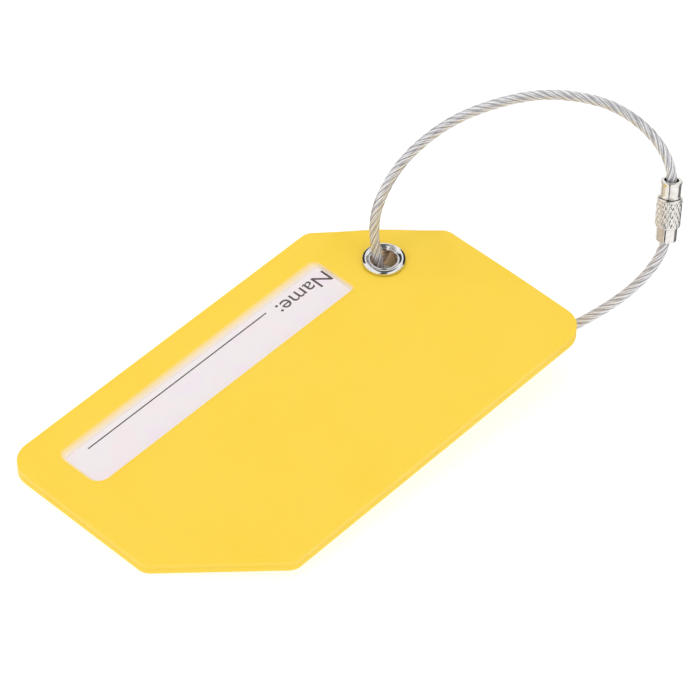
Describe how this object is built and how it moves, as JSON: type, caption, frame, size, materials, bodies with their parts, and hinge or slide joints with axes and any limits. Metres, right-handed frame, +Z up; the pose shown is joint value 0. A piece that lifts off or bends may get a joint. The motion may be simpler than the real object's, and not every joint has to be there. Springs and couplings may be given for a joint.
{
  "type": "luggage tag",
  "caption": "Flat soft-plastic luggage tag with two cut corners, a name window and card, an eyelet and a steel cable loop with a knurled screw lock.",
  "frame": {"origin": "on the floor under the middle of the tag's own box, the cable loop and its lock left out", "axes": "+X along the tag from its foot edge to its eyelet end, +Y across it towards the edge with the card slit, +Z up; the tag lies on its back, its eyelet end raised 5.65 degrees by the cable under it"},
  "size_m": [0.133, 0.0671, 0.054],
  "materials": {
    "cover_pvc": "soft matte PVC",
    "card_paper": "satin card",
    "eyelet_nickel": "polished nickel",
    "coated_cable": "twisted strands under a clear coating",
    "lock_nickel": "polished and knurled nickel"
  },
  "bodies": {
    "tag": {"front_cover": "cover_pvc", "back_cover": "cover_pvc", "eyelet": "eyelet_nickel", "eyelet_washer": "eyelet_nickel"},
    "card": {"name_card": "card_paper"},
    "loop_lower": {"cable_lower": "coated_cable", "stud_ferrule": "lock_nickel"},
    "loop_upper": {"cable_upper": "coated_cable", "stop_ferrule": "lock_nickel"},
    "collar": {"lock_collar": "lock_nickel"},
    "sleeve": {"knurled_sleeve": "lock_nickel"}
  },
  "joints": [
    {"name": "card_slide", "type": "slide", "parent": "tag", "child": "card", "axis": [0, 1, 0], "range_m": [0, 0.045]},
    {"name": "loop_turn", "type": "hinge", "parent": "tag", "child": "loop_lower", "pos_m": [0.03861, 0.0128, 0.01088], "axis": [-0.0985, 0, 0.9951], "range_deg": [0, 150]},
    {"name": "loop_open", "type": "hinge", "parent": "loop_lower", "child": "loop_upper", "pos_m": [0.04255, 0.01631, 0.03149], "axis": [-0.8115, -0.501, 0.3009], "range_deg": [0, 30]},
    {"name": "lock_travel", "type": "slide", "parent": "loop_upper", "child": "collar", "axis": [0.2175, 0.219, 0.9512], "range_m": [0, 0.002]},
    {"name": "sleeve_turn", "type": "hinge", "parent": "collar", "child": "sleeve", "pos_m": [0.07436, -0.0328, 0.03552], "axis": [0.2175, 0.219, 0.9512], "range_deg": [0, 1440]}
  ],
  "couplings": [
    {"joint": "sleeve_turn", "follows": "lock_travel", "rad_per_m": 12566}
  ]
}
